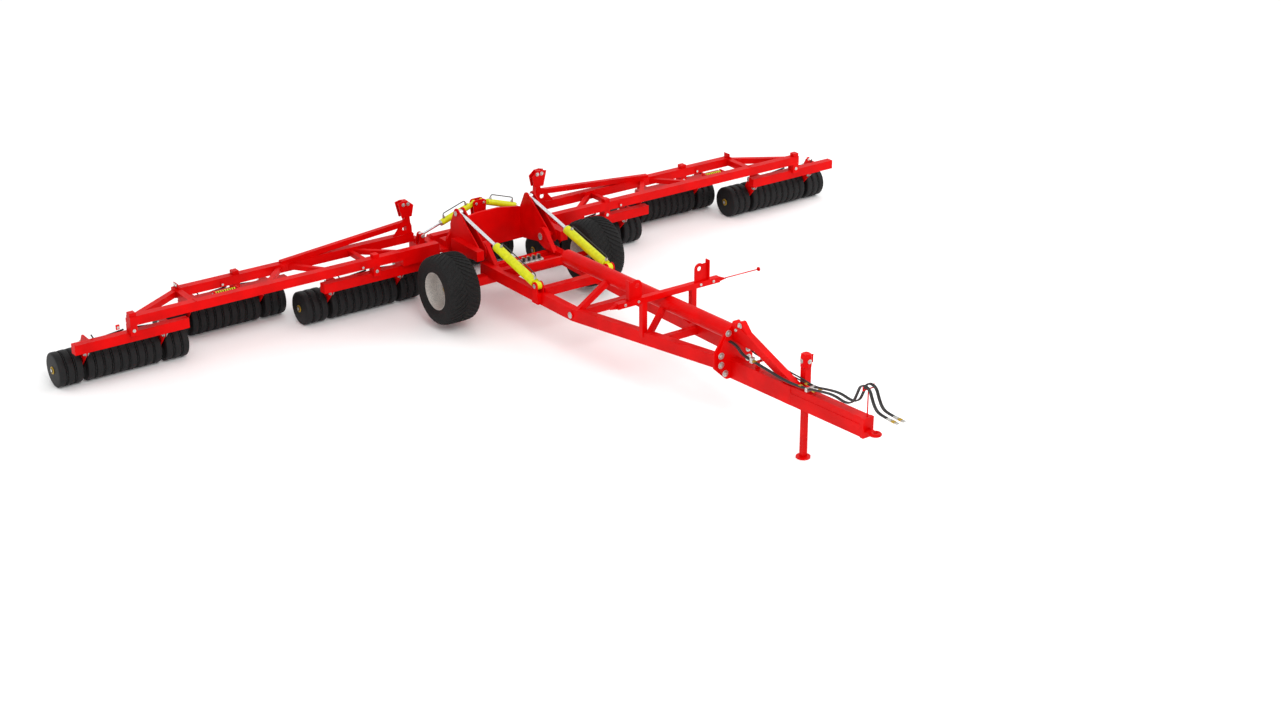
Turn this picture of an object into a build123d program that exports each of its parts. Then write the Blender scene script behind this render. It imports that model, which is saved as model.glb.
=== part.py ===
"""Ring roller: seven ring gangs under a tilting centre frame and two folding wings, on a long drawbar."""
import os
from math import cos, pi, radians, sin, tan

from build123d import *

os.makedirs("parts", exist_ok=True)

# Frame: millimetres, +Z up, floor at z = 0, towing eye towards -Y, symmetric about x = 0.
# Lengthwise places are counted from the wheel axle, and AXLE_Y puts the origin under the box's centre.

# Ring gangs
RING_RADIUS = 281
RING_SIDES = 12
ROD_SIDES = 12
WHEEL_SIDES = 32
RING_WIDTH = 92
GROOVE_DEPTH = 40
UNIT_PITCH = 140
OUTER_GROUP = 3
MIDDLE_GROUP = 9
BEARING_GAP = 52
SHAFT_RADIUS = 40
SHAFT_FLATNESS = 0.96
SHAFT_STUB = 20
FACE_SLOPE = 4
RUNNING_GAP = 0.8
FRONT_AXIS = 1540
REAR_AXIS = 2230
GANG_LENGTH = UNIT_PITCH * (MIDDLE_GROUP + 2 * OUTER_GROUP) + 2 * BEARING_GAP
BEARING_OFFSET = (UNIT_PITCH * MIDDLE_GROUP + BEARING_GAP) / 2
INNER_GANG_X = 2315
MIDDLE_GANG_X = 4512
OUTER_GANG_X = 6603

# Gang frames
GANG_TUBE_LENGTH = 1900
CENTRE_TUBE_LENGTH = 1660
GANG_TUBE_WIDE = 140
GANG_TUBE_TALL = 160
GANG_TUBE_AHEAD = 590
GANG_TUBE_TOP = 880
BEARING_PLATE = 30
BEARING_RADIUS = 75

# Towing eye, nose beam and the reach of the drawbar ahead of the axle
EYE_AHEAD = 8889
EYE_RADIUS = 95
EYE_BORE = 25
EYE_THICK = 50
EYE_HEIGHT = 1070
AXLE_Y = (EYE_AHEAD + EYE_RADIUS - REAR_AXIS - RING_RADIUS) / 2
NOSE_FRONT = 8680
NOSE_FLANGE = 5730
NOSE_WIDE = 160
NOSE_TALL = 300
NOSE_LOW_REAR = 800
NOSE_LOW_FRONT = 965
FLANGE_THICK = 30
FRONT_PLATE = 64
BRACE_REACH = 1470
BRACE_SIZE = 120

# Chassis: side beams from the rear, over the kink, to the flange
BEAM_WIDE = 140
BEAM_TALL = 200
BEAM_REAR = (660, 160, 830)
BEAM_KINK = (600, -2440, 840)
BEAM_FRONT = (270, -NOSE_FLANGE + FLANGE_THICK, 1110)
TOP_TUBE_RADIUS = 122
TOP_TUBE_REAR = (0, -1360, 1335)
TOP_TUBE_FRONT = (0, -NOSE_FLANGE + FLANGE_THICK, 1497)
AXLE_HEIGHT = 687
AXLE_BEAM = 150
AXLE_BEAM_HALF = 1020
STUB_RADIUS = 45
STUB_END = 1460

# Wheels
TYRE_RADIUS = 586
TYRE_WIDTH = 606
TYRE_FACE = 1744
RIM_RADIUS = 305
SEAT_GAP = 0.4
TYRE_X = TYRE_FACE - TYRE_WIDTH / 2

# Tilt pivot and tilt arms
PIVOT = (230, 1090)
PIVOT_LUG = 140
PIVOT_PIN = 45
EAR_RADIUS = 150
EAR_INNER = 540
EAR_OUTER = 620
ARM_X = 697
ARM_GAP = 100
ARM_PLATE = 20
APEX = (803, 1604)
APEX_LUG = 85
ARM_REAR = 1020

# Tilt cylinders
TILT_BASE = (-1540, 1054)
TILT_BARREL_RADIUS = 75
TILT_ROD_RADIUS = 33
TILT_BARREL_LENGTH = 1250
TILT_EYE_WIDE = 80
TILT_EYE_RADIUS = 62
TILT_PIN = 30
TILT_ENGAGED = 100
TILT_NECK = 25

# Wing hinge, tower and wing cylinders
HINGE = (1040, 920)
HINGE_LUG = 60
HINGE_PIN = 25
TOWER_PIN = (75, 1490)
WING_PIN = (1150, 1140)
CYLINDER_Y = 1360
WING_BARREL_RADIUS = 56
WING_ROD_RADIUS = 22
WING_BARREL_LENGTH = 700
WING_EYE_WIDE = 60
WING_EYE_RADIUS = 45
WING_CYLINDER_PIN = 22
WING_ENGAGED = 300
WING_NECK = 65
LUG_PLATE = 20
LUG_GAP = 80

# Tilt frame beams
MAIN_BEAM_REAR = 1270
MAIN_BEAM_LOW = 800
MAIN_BEAM_TOP = 1050
HINGE_BEAM_INNER = 840
HINGE_BEAM_OUTER = 960
HINGE_BEAM_TOP = 940
HINGE_BEAM_FRONT = 980
HINGE_BEAM_REAR = 1700
REAR_BEAM_LOW = GANG_TUBE_TOP
REAR_BEAM_TOP = 1020

# Wall plate of the tilt frame, from its foot to the top at one side: x, z
WALL_EDGE = ((840, 1040), (840, 1100), (620, 1380), (200, 1440))

# Wing chords
FRONT_CHORD = (800, 940)
REAR_CHORD = (1470, 1610)
CHORD_LOW = 1010
CHORD_TOP = 1160
ROOT_X = 1120
POST_X = 1220
KINK_X = 5540
TIP_X = 6660

# Discs on the side beams' kink and the valve block
KINK_DISC_HEIGHT = 840
KINK_DISC_RADIUS = 55
VALVE_X = 30
VALVE_Y = -210
VALVE_TOP = 930
VALVE_CAP = 22

# Hoses, their stand on the nose and the stay
HOSE_RADIUS = 12
HOSE_SIDES = 8
CORNER_SHARE = 0.45
COUPLER_AHEAD = 9215
COUPLER_RADIUS = 14
COUPLER_BODY = 130
COUPLER_PLUG = 60
STAND_AHEAD = 6300
STAND_HALF = 135
CLAMP_AHEAD = 7500
CLAMP_HALF = 92
STAY_AHEAD = 8710
STAY_HALF = 100
STAY_TOP = 1690
STAY_RADIUS = 10
STAND_LONG = 60
STAND_PLATE = 12

# Transport rest and jack
REST_AHEAD = 4100
REST_LOW = 1565
REST_TOP = 1655
REST_HALF = 965
REST_POST_X = 470
CATCH_X = 590
CATCH_HEIGHT = 1860
CATCH_RADIUS = 90
CATCH_PLATE = 14
CATCH_HOLE = 38
LIP_X = 745
LIP_TOP = 1975
MARKER_X = 1760
MARKER_HEIGHT = 1585
MARKER_RADIUS = 9
MARKER_PLATE = 34
JACK_X = 155
JACK_AHEAD = 7200
CRANK_TOP = 1600
CRANK_REACH = 120
CRANK_RADIUS = 10
JACK_SLEEVE = 110
JACK_BORE = 83
JACK_LEG = 82
JACK_SLEEVE_LOW = 860
JACK_SLEEVE_TOP = 1645
JACK_LEG_TOP = 920
JACK_FOOT_RADIUS = 110

# The left side is the driver's left, towards +X, since the machine is towed towards -Y.
SIDES = (("left", 1), ("right", -1))


def lengthwise(x):
    """Plane across X at x, where a sketch holds (y from the axle, z)."""
    return Plane(origin=(x, AXLE_Y, 0), x_dir=(0, 1, 0), z_dir=(1, 0, 0))


def crosswise(y):
    """Plane across Y, y from the axle, where a sketch holds (x, z)."""
    return Plane(origin=(0, AXLE_Y + y, 0), x_dir=(1, 0, 0), z_dir=(0, -1, 0))


def level(z):
    """Plane at height z, where a sketch holds (x, y from the axle)."""
    return Plane(origin=(0, AXLE_Y, z), x_dir=(1, 0, 0), z_dir=(0, 0, 1))


def block(x_span, y_span, z_span):
    """Box between two values along each axis."""
    with BuildSketch(level(min(z_span))) as foot:
        with Locations((sum(x_span) / 2, sum(y_span) / 2)):
            Rectangle(abs(x_span[1] - x_span[0]), abs(y_span[1] - y_span[0]))
    extrude(foot.sketch, amount=abs(z_span[1] - z_span[0]))


def plate(plane, outline, thick):
    """Flat plate with a straight-edged outline, centred on its plane."""
    with BuildSketch(plane) as face:
        with BuildLine():
            Polyline(*outline, close=True)
        make_face()
    extrude(face.sketch, amount=thick / 2, both=True)


def run_plane(start, end):
    """Plane at a run's start, facing its end, with the sketch's x level."""
    first = Vector(start[0], AXLE_Y + start[1], start[2])
    along = Vector(end[0], AXLE_Y + end[1], end[2]) - first
    across = along.cross(Vector(0, 0, 1))
    if across.length < 1e-6:
        across = Vector(1, 0, 0)
    return Plane(origin=first, x_dir=across, z_dir=along), along.length


def beam(start, end, wide, tall):
    """Rectangular tube from start to end."""
    plane, length = run_plane(start, end)
    with BuildSketch(plane) as section:
        Rectangle(wide, tall)
    extrude(section.sketch, amount=length)


def rod(start, end, radius, sides=ROD_SIDES):
    """Bar with many flat sides from start to end, its corners on the radius."""
    plane, length = run_plane(start, end)
    with BuildSketch(plane) as section:
        RegularPolygon(radius, sides)
    extrude(section.sketch, amount=length)


def turned(centre, stations, sides, mode=Mode.ADD):
    """Turned form about X through (x, apothem), as plane panels with one panel's middle at the bottom."""
    rims = []
    for x, apothem in stations:
        radius = apothem / cos(pi / sides)
        rim = []
        for k in range(sides):
            angle = (2 * k + 1) * pi / sides
            y = AXLE_Y + centre[0] + radius * sin(angle)
            rim.append(Vector(x, y, centre[1] - radius * cos(angle)))
        rims.append(rim)
    panels = [Face(Wire.make_polygon(rims[0])), Face(Wire.make_polygon(rims[-1]))]
    for near, far in zip(rims, rims[1:]):
        for k in range(sides):
            panels.append(Face(Wire.make_polygon((near[k - 1], near[k], far[k], far[k - 1]))))
    add(Solid(Shell(panels)), mode=mode)


def lug(plane, rounds, corners, thick):
    """Plate whose outline is the hull of round ends (u, v, radius) and corners (u, v)."""
    with BuildSketch(plane) as face:
        for u, v, radius in rounds:
            with Locations((u, v)):
                Circle(radius)
        if corners:
            with BuildLine():
                Polyline(*corners)
        make_hull()
    extrude(face.sketch, amount=thick / 2, both=True)


def bore(plane, u, v, radius, thick):
    """Round hole through what lies within thick of the plane."""
    with BuildSketch(plane) as hole:
        with Locations((u, v)):
            Circle(radius)
    extrude(hole.sketch, amount=thick / 2, both=True, mode=Mode.SUBTRACT)


# Chassis frame: side beams, axle beam, cross members, top tube, struts, pivot ears and cylinder clevises
with BuildPart() as chassis_frame:
    for name, side in SIDES:
        corners = [(side * x, y, z) for x, y, z in (BEAM_REAR, BEAM_KINK, BEAM_FRONT)]
        beam(corners[0], corners[1], BEAM_WIDE, BEAM_TALL)
        beam(corners[1], corners[2], BEAM_WIDE, BEAM_TALL)
        rod(
            (side * (BEAM_KINK[0] - 40), BEAM_KINK[1], KINK_DISC_HEIGHT),
            (side * (BEAM_KINK[0] + 90), BEAM_KINK[1], KINK_DISC_HEIGHT),
            KINK_DISC_RADIUS,
        )
        # Struts from the top tube down to the side beams: top y, top z, foot x, foot y, foot z, size
        for top_y, top_z, foot_x, foot_y, foot_z, size in (
            (-1420, 1335, 580, -380, 880, 110),
            (-2600, 1370, 580, -2500, 900, 90),
            (-4050, 1425, 430, -4180, 1020, 80),
        ):
            beam((0, top_y, top_z), (side * foot_x, foot_y, foot_z), size, size)
        lug(
            lengthwise(side * (EAR_INNER + EAR_OUTER) / 2),
            [(PIVOT[0], PIVOT[1], EAR_RADIUS)],
            [(-150, 900), (150, 900)],
            EAR_OUTER - EAR_INNER,
        )
        pin_end = ARM_X + ARM_GAP / 2 + ARM_PLATE - 4
        with BuildSketch(lengthwise(side * EAR_INNER)) as pivot_pin:
            with Locations(PIVOT):
                Circle(PIVOT_PIN)
        extrude(pivot_pin.sketch, amount=side * (pin_end - EAR_INNER))
        with BuildSketch(lengthwise(side * EAR_INNER)) as pin_head:
            with Locations(PIVOT):
                Circle(PIVOT_PIN + 20)
        extrude(pin_head.sketch, amount=-side * 18)
        for plate_x in (ARM_X - 56, ARM_X + 56):
            lug(
                lengthwise(side * plate_x),
                [(TILT_BASE[0], TILT_BASE[1], 70)],
                [(TILT_BASE[0] - 90, 760), (TILT_BASE[0] + 90, 760)],
                LUG_PLATE,
            )
        block(
            (side * 600, side * (ARM_X + 66)),
            (TILT_BASE[0] - 80, TILT_BASE[0] + 80),
            (760, 940),
        )
        rod(
            (side * (ARM_X - 70), TILT_BASE[0], TILT_BASE[1]),
            (side * (ARM_X + 70), TILT_BASE[0], TILT_BASE[1]),
            TILT_PIN,
        )
        beam((side * REST_POST_X, -REST_AHEAD, 1000), (side * REST_POST_X, -REST_AHEAD, REST_LOW), 90, 90)
        rod((side * (AXLE_BEAM_HALF - 20), 0, AXLE_HEIGHT), (side * STUB_END, 0, AXLE_HEIGHT), STUB_RADIUS)
    block(
        (-AXLE_BEAM_HALF, AXLE_BEAM_HALF),
        (-AXLE_BEAM / 2, AXLE_BEAM / 2),
        (AXLE_HEIGHT - AXLE_BEAM / 2, AXLE_HEIGHT + AXLE_BEAM / 2),
    )
    # Cross members between the side beams: half length, rear y, front y, low z, top z
    for half, rear, front, low, top in (
        (640, 160, 60, 760, 860),
        (620, -100, -320, 780, 860),
        (600, -1470, -1610, 860, 1000),
        (580, -2380, -2500, 780, 900),
        (420, -4330, -4430, 950, 1060),
    ):
        block((-half, half), (front, rear), (low, top))
    rod(TOP_TUBE_REAR, TOP_TUBE_FRONT, TOP_TUBE_RADIUS, 2 * ROD_SIDES)
    lug(
        crosswise(-NOSE_FLANGE + FLANGE_THICK / 2),
        [(0, TOP_TUBE_FRONT[2], 150)],
        [(-360, 1240), (-360, 1000), (-150, 800), (150, 800), (360, 1000), (360, 1240)],
        FLANGE_THICK,
    )
chassis_frame.part.label = "chassis_frame"
export_step(chassis_frame.part, "parts/chassis_frame.step")

# Nose: bolted flange, nose beam, upper brace and front plate
with BuildPart() as drawbar_nose:
    lug(
        crosswise(-NOSE_FLANGE - FLANGE_THICK / 2),
        [(0, TOP_TUBE_FRONT[2], 150)],
        [(-300, 1240), (-300, 1000), (-150, 800), (150, 800), (300, 1000), (300, 1240)],
        FLANGE_THICK,
    )
    plate(
        lengthwise(0),
        [
            (-NOSE_FLANGE - FLANGE_THICK, NOSE_LOW_REAR),
            (-NOSE_FRONT, NOSE_LOW_FRONT),
            (-NOSE_FRONT, NOSE_LOW_FRONT + NOSE_TALL),
            (-NOSE_FLANGE - FLANGE_THICK, NOSE_LOW_REAR + NOSE_TALL),
        ],
        NOSE_WIDE,
    )
    beam((0, -NOSE_FLANGE - 20, 1660), (0, -NOSE_FLANGE - BRACE_REACH, 1150), BRACE_SIZE, BRACE_SIZE)
    flange_face = -NOSE_FLANGE - FLANGE_THICK
    lug(
        lengthwise(0),
        [(-NOSE_FLANGE - 200, 1690, 60)],
        [(flange_face, 1600), (flange_face, 1400), (-NOSE_FLANGE - 570, 1400)],
        100,
    )
    block((-95, 95), (-NOSE_FRONT - FRONT_PLATE, -NOSE_FRONT), (NOSE_LOW_FRONT, NOSE_LOW_FRONT + NOSE_TALL))
    # Stands that the hoses lie on: half width, y ahead, foot z, top z
    for half, ahead, foot, top in (
        (STAND_HALF, STAND_AHEAD, 1090, 1244),
        (CLAMP_HALF, CLAMP_AHEAD, 1160, 1215),
    ):
        block((-half, half), (-ahead - STAND_LONG / 2, -ahead + STAND_LONG / 2), (top - STAND_PLATE, top))
        block((-40, 40), (-ahead - STAND_PLATE / 2, -ahead + STAND_PLATE / 2), (foot, top))
drawbar_nose.part.label = "drawbar_nose"
export_step(drawbar_nose.part, "parts/drawbar_nose.step")

# Towing eye: ring with an upright bore on a short shank
with BuildPart() as towing_eye:
    eye_z = EYE_HEIGHT - EYE_THICK / 2
    with BuildSketch(level(eye_z)) as eye_ring:
        with Locations((0, -EYE_AHEAD)):
            Circle(EYE_RADIUS)
    extrude(eye_ring.sketch, amount=EYE_THICK)
    block((-60, 60), (-EYE_AHEAD + 40, -NOSE_FRONT - FRONT_PLATE), (eye_z, eye_z + EYE_THICK))
    bore(level(EYE_HEIGHT), 0, -EYE_AHEAD, EYE_BORE, 2 * EYE_THICK)
towing_eye.part.label = "towing_eye"
export_step(towing_eye.part, "parts/towing_eye.step")

# Transport rest: crossbeam on two posts with a catch, a lip and a guide at each end
with BuildPart() as transport_rest:
    block((-REST_HALF, REST_HALF), (-REST_AHEAD - 50, -REST_AHEAD + 50), (REST_LOW, REST_TOP))
    for name, side in SIDES:
        lug(
            crosswise(-REST_AHEAD),
            [(side * CATCH_X, CATCH_HEIGHT, CATCH_RADIUS)],
            [(side * (CATCH_X - CATCH_RADIUS), REST_TOP), (side * LIP_X, REST_TOP)],
            CATCH_PLATE,
        )
        block((side * LIP_X, side * (LIP_X + 20)), (-REST_AHEAD - 45, -REST_AHEAD + 45), (REST_TOP, LIP_TOP))
        plate(
            crosswise(-REST_AHEAD),
            [
                (side * (REST_HALF - 5), REST_LOW + 5),
                (side * (REST_HALF - 5), REST_TOP - 5),
                (side * 1100, 1590),
            ],
            60,
        )
        block(
            (side * (LIP_X - 85), side * LIP_X),
            (-REST_AHEAD - CATCH_PLATE / 2, -REST_AHEAD + CATCH_PLATE / 2),
            (REST_TOP, LIP_TOP - 45),
        )
        bore(crosswise(-REST_AHEAD), side * CATCH_X, CATCH_HEIGHT, CATCH_HOLE, 40)
transport_rest.part.label = "transport_rest"
export_step(transport_rest.part, "parts/transport_rest.step")

# Marker rod: thin bar with a round plate, on one end of the rest
with BuildPart() as marker_rod:
    rod((1100, -REST_AHEAD, 1590), (MARKER_X, -REST_AHEAD, MARKER_HEIGHT), MARKER_RADIUS)
    rod((MARKER_X - 5, -REST_AHEAD, MARKER_HEIGHT), (MARKER_X + 15, -REST_AHEAD, MARKER_HEIGHT), MARKER_PLATE)
marker_rod.part.label = "marker_rod"
export_step(marker_rod.part, "parts/marker_rod.step")

# Valve block on the second cross member
with BuildPart() as valve_block:
    block((VALVE_X - 210, VALVE_X + 210), (VALVE_Y - 80, VALVE_Y + 80), (860, VALVE_TOP))
    for port_x in (VALVE_X - 150, VALVE_X - 50, VALVE_X + 50, VALVE_X + 150):
        rod((port_x, VALVE_Y, VALVE_TOP - 5), (port_x, VALVE_Y, VALVE_TOP + 60), VALVE_CAP)
valve_block.part.label = "valve_block"
export_step(valve_block.part, "parts/valve_block.step")

# Hose stay: bar with a cross piece that carries the hoses above the towing eye
with BuildPart() as hose_stay:
    rod((0, -STAY_AHEAD, NOSE_LOW_FRONT + NOSE_TALL), (0, -STAY_AHEAD, STAY_TOP), STAY_RADIUS)
    rod((-STAY_HALF, -STAY_AHEAD, STAY_TOP), (STAY_HALF, -STAY_AHEAD, STAY_TOP), STAY_RADIUS)
    for end_x in (-STAY_HALF, STAY_HALF):
        rod((end_x, -STAY_AHEAD, STAY_TOP - 8), (end_x, -STAY_AHEAD, STAY_TOP + 55), 8)
hose_stay.part.label = "hose_stay"
export_step(hose_stay.part, "parts/hose_stay.step")

# Hoses: four from the flange over the stand and the stay to their couplers
# name, x at the rear, lift at the rear, x at the front
HOSES = (
    ("outer_right", -118, 0, -74),
    ("inner_right", -86, 0, -44),
    ("inner_left", 80, 0, 44),
    ("outer_left", 86, 38, 74),
)
# Route of every hose: y from the axle, z, share of the way from the rear's x and lift to the front's, sway
HOSE_ROUTE = (
    (-NOSE_FLANGE - FLANGE_THICK, 1400, 0, 0),
    (-5925, 1400, 0, 0),
    (-6055, 1290, 0, 2),
    (-6300, 1281, 0, -6),
    (-6640, 1256, 0, 6),
    (-6960, 1240, 0, -4),
    (-7220, 1242, 0.1, 0),
    (-7500, 1254, 1, 4),
    (-7790, 1330, 1, -6),
    (-8060, 1372, 1, 5),
    (-8320, 1345, 1, -3),
    (-8475, 1410, 1, 0),
    (-8550, 1572, 1, 0),
    (-8620, 1742, 1, 0),
    (-8800, 1742, 1, 0),
    (-8875, 1570, 1, 0),
    (-8960, 1458, 1, 0),
    (-9100, 1434, 1, 0),
    (-COUPLER_AHEAD, 1434, 1, 0),
)


def hose_points(rear_x, lift, front_x):
    """One hose's points in the frame."""
    points = []
    for y, z, share, sway in HOSE_ROUTE:
        x = rear_x + (front_x - rear_x) * share + sway
        points.append(Vector(x, AXLE_Y + y, z + lift * (1 - share)))
    return points


def corner_radii(points):
    """Radius at each inner corner: 0.45 of the shorter run over the tangent of half the turn."""
    radii = []
    for before, corner, after in zip(points, points[1:], points[2:]):
        arriving = corner - before
        leaving = after - corner
        half_turn = radians(arriving.get_angle(leaving) / 2)
        shorter = min(arriving.length, leaving.length)
        radii.append(CORNER_SHARE * shorter / tan(half_turn))
    return radii


for name, rear_x, lift, front_x in HOSES:
    points = hose_points(rear_x, lift, front_x)
    radii = corner_radii(points)
    print(f"hose_{name} radii", [round(radius) for radius in radii])
    with BuildPart() as hose:
        with BuildLine() as hose_line:
            FilletPolyline(*points, radius=radii)
        print(f"hose_{name} length", round(hose_line.wires()[0].length))
        with BuildSketch(Plane(origin=hose_line.line @ 0, z_dir=hose_line.line % 0)) as hose_section:
            RegularPolygon(HOSE_RADIUS, HOSE_SIDES)
        sweep(hose_section.sketch, path=hose_line.line)
    hose.part.label = f"hose_{name}"
    export_step(hose.part, f"parts/hose_{name}.step")

# Hose couplers: a hexagonal body and a plug on each hose's end
with BuildPart() as hose_couplers:
    for name, rear_x, lift, front_x in HOSES:
        coupler_z = HOSE_ROUTE[-1][1]
        body_end = -COUPLER_AHEAD - COUPLER_BODY
        rod((front_x, -COUPLER_AHEAD, coupler_z), (front_x, body_end, coupler_z), COUPLER_RADIUS, 6)
        rod((front_x, body_end + 2, coupler_z), (front_x, body_end - COUPLER_PLUG, coupler_z), 11)
hose_couplers.part.label = "hose_couplers"
export_step(hose_couplers.part, "parts/hose_couplers.step")

# Jack sleeve on the nose beam's left side
with BuildPart() as jack_sleeve:
    half = JACK_SLEEVE / 2
    block(
        (JACK_X - half, JACK_X + half),
        (-JACK_AHEAD - half, -JACK_AHEAD + half),
        (JACK_SLEEVE_LOW, JACK_SLEEVE_TOP),
    )
    block((NOSE_WIDE / 2, JACK_X), (-JACK_AHEAD - 100, -JACK_AHEAD + 100), (920, 1140))
    with BuildSketch(level(JACK_SLEEVE_LOW)) as leg_room:
        with Locations((JACK_X, -JACK_AHEAD)):
            Rectangle(JACK_BORE, JACK_BORE)
    extrude(leg_room.sketch, amount=JACK_SLEEVE_TOP - JACK_SLEEVE_LOW - 15, mode=Mode.SUBTRACT)
    crank_x = JACK_X + CRANK_REACH
    rod((JACK_X + half - 5, -JACK_AHEAD, CRANK_TOP), (crank_x + 10, -JACK_AHEAD, CRANK_TOP), CRANK_RADIUS)
    rod((crank_x, -JACK_AHEAD, CRANK_TOP), (crank_x, -JACK_AHEAD, CRANK_TOP - 120), CRANK_RADIUS)
jack_sleeve.part.label = "jack_sleeve"
export_step(jack_sleeve.part, "parts/jack_sleeve.step")

# Jack leg: inner tube on a round foot
with BuildPart() as jack_leg:
    half = JACK_LEG / 2
    block((JACK_X - half, JACK_X + half), (-JACK_AHEAD - half, -JACK_AHEAD + half), (10, JACK_LEG_TOP))
    rod((JACK_X, -JACK_AHEAD, 0), (JACK_X, -JACK_AHEAD, 24), JACK_FOOT_RADIUS)
jack_leg.part.label = "jack_leg"
export_step(jack_leg.part, "parts/jack_leg.step")

# Tyres and rims, turned about the stub axles: (x from the tyre's middle, apothem), outside last
TYRE_STATIONS = (
    (-243, 306),
    (-295, 355),
    (-303, 450),
    (-282, 536),
    (-190, TYRE_RADIUS),
    (190, TYRE_RADIUS),
    (282, 536),
    (303, 450),
    (295, 355),
    (243, 306),
)
DRUM_HALF = 244
OUTER_DISH = ((40, 120), (44, 190), (70, 240), (180, 272), (264, 296))
INNER_DISH = ((-264, 296), (-180, 272), (-40, 250), (12, 110))
HUB_STATIONS = ((-150, 95), (66, 82))
HUB_CAP = ((60, 70), (100, 62), (112, 30))
for name, side in SIDES:
    wheel_centre = (0, AXLE_HEIGHT)
    with BuildPart() as tyre:
        turned(wheel_centre, [(side * (TYRE_X + x), r) for x, r in TYRE_STATIONS], WHEEL_SIDES)
        seat = TYRE_WIDTH / 2
        turned(
            wheel_centre,
            [(side * (TYRE_X + end * seat), RIM_RADIUS + SEAT_GAP) for end in (-1, 1)],
            WHEEL_SIDES,
            Mode.SUBTRACT,
        )
    tyre.part.label = f"tyre_{name}"
    export_step(tyre.part, f"parts/tyre_{name}.step")

    with BuildPart() as rim:
        drum = [(side * (TYRE_X + end * DRUM_HALF), RIM_RADIUS) for end in (-1, 1)]
        turned(wheel_centre, drum, WHEEL_SIDES)
        for dish in (OUTER_DISH, INNER_DISH):
            turned(wheel_centre, [(side * (TYRE_X + x), r) for x, r in dish], WHEEL_SIDES, Mode.SUBTRACT)
        for hub in (HUB_STATIONS, HUB_CAP):
            turned(wheel_centre, [(side * (TYRE_X + x), r) for x, r in hub], ROD_SIDES)
        with BuildSketch(lengthwise(side * (TYRE_X - 160))) as hub_bore:
            with Locations(wheel_centre):
                Circle(STUB_RADIUS + RUNNING_GAP)
        extrude(hub_bore.sketch, amount=side * (STUB_END + 20 - TYRE_X + 160), mode=Mode.SUBTRACT)
    rim.part.label = f"rim_{name}"
    export_step(rim.part, f"parts/rim_{name}.step")

# Tilt frame beams: main beam, front wall, rear beam, hinge beams and their lugs and pins
with BuildPart() as tilt_beams:
    block(
        (-HINGE_BEAM_INNER, HINGE_BEAM_INNER),
        (ARM_REAR, MAIN_BEAM_REAR),
        (MAIN_BEAM_LOW, MAIN_BEAM_TOP),
    )
    plate(
        crosswise(ARM_REAR + 25),
        [(end * x, z) for end, row in ((-1, WALL_EDGE), (1, reversed(WALL_EDGE))) for x, z in row],
        50,
    )
    block((-HINGE_BEAM_OUTER, HINGE_BEAM_OUTER), REAR_CHORD, (REAR_BEAM_LOW, HINGE_BEAM_TOP))
    block((-HINGE_BEAM_INNER, HINGE_BEAM_INNER), REAR_CHORD, (REAR_BEAM_LOW, REAR_BEAM_TOP))
    for name, side in SIDES:
        block(
            (side * HINGE_BEAM_INNER, side * HINGE_BEAM_OUTER),
            (HINGE_BEAM_FRONT, HINGE_BEAM_REAR),
            (MAIN_BEAM_LOW, HINGE_BEAM_TOP),
        )
        # Hinge lugs on the beam, with the pin that reaches into the wing's lug: lug y, pin end y
        for lug_y, pin_end in ((1010, 890), (1640, 1520)):
            lug(
                crosswise(lug_y),
                [(side * HINGE[0], HINGE[1], HINGE_LUG)],
                [(side * 940, 830), (side * 940, 935)],
                60,
            )
            rod((side * HINGE[0], lug_y, HINGE[1]), (side * HINGE[0], pin_end, HINGE[1]), HINGE_PIN)
tilt_beams.part.label = "tilt_beams"
export_step(tilt_beams.part, "parts/tilt_beams.step")

# Tilt arms: a pair of plates at each side from the pivot up to the rod's eye
with BuildPart() as tilt_arms:
    for name, side in SIDES:
        for plate_x in (ARM_X - (ARM_GAP + ARM_PLATE) / 2, ARM_X + (ARM_GAP + ARM_PLATE) / 2):
            lug(
                lengthwise(side * plate_x),
                [(PIVOT[0], PIVOT[1], PIVOT_LUG), (APEX[0], APEX[1], APEX_LUG)],
                [(ARM_REAR, 820), (ARM_REAR, 1370)],
                ARM_PLATE,
            )
        for low, top in ((830, 860), (1250, 1280)):
            block(
                (side * (ARM_X - ARM_GAP / 2 - 5), side * (ARM_X + ARM_GAP / 2 + 5)),
                (ARM_REAR - 100, ARM_REAR),
                (low, top),
            )
        outer = ARM_X + ARM_GAP / 2 + ARM_PLATE
        block((side * (outer - 2), side * 900), (-30, 780), (1030, 1200))
        for disc_x in (ARM_X - ARM_GAP / 2 - ARM_PLATE, outer):
            reach = 12 if disc_x == outer else -6
            rod((side * disc_x, APEX[0], APEX[1]), (side * (disc_x + reach), APEX[0], APEX[1]), 50)
        bore_long = ARM_GAP + 2 * ARM_PLATE + 16
        bore(lengthwise(side * (ARM_X - 10)), PIVOT[0], PIVOT[1], PIVOT_PIN + RUNNING_GAP, bore_long)
tilt_arms.part.label = "tilt_arms"
export_step(tilt_arms.part, "parts/tilt_arms.step")

# Tower: two plates that hold both wing cylinders' pins
with BuildPart() as cylinder_tower:
    block((-200, 200), (MAIN_BEAM_REAR, CYLINDER_Y + 80), (MAIN_BEAM_LOW, MAIN_BEAM_TOP))
    for plate_y in (CYLINDER_Y - (LUG_GAP - LUG_PLATE + 40) / 2, CYLINDER_Y + (LUG_GAP - LUG_PLATE + 40) / 2):
        lug(
            crosswise(plate_y),
            [(-TOWER_PIN[0], TOWER_PIN[1], 58), (TOWER_PIN[0], TOWER_PIN[1], 58)],
            [(-90, 1040), (90, 1040)],
            LUG_PLATE,
        )
    for name, side in SIDES:
        rod(
            (side * TOWER_PIN[0], CYLINDER_Y - 70, TOWER_PIN[1]),
            (side * TOWER_PIN[0], CYLINDER_Y + 70, TOWER_PIN[1]),
            WING_CYLINDER_PIN,
        )
cylinder_tower.part.label = "cylinder_tower"
export_step(cylinder_tower.part, "parts/cylinder_tower.step")


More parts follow.
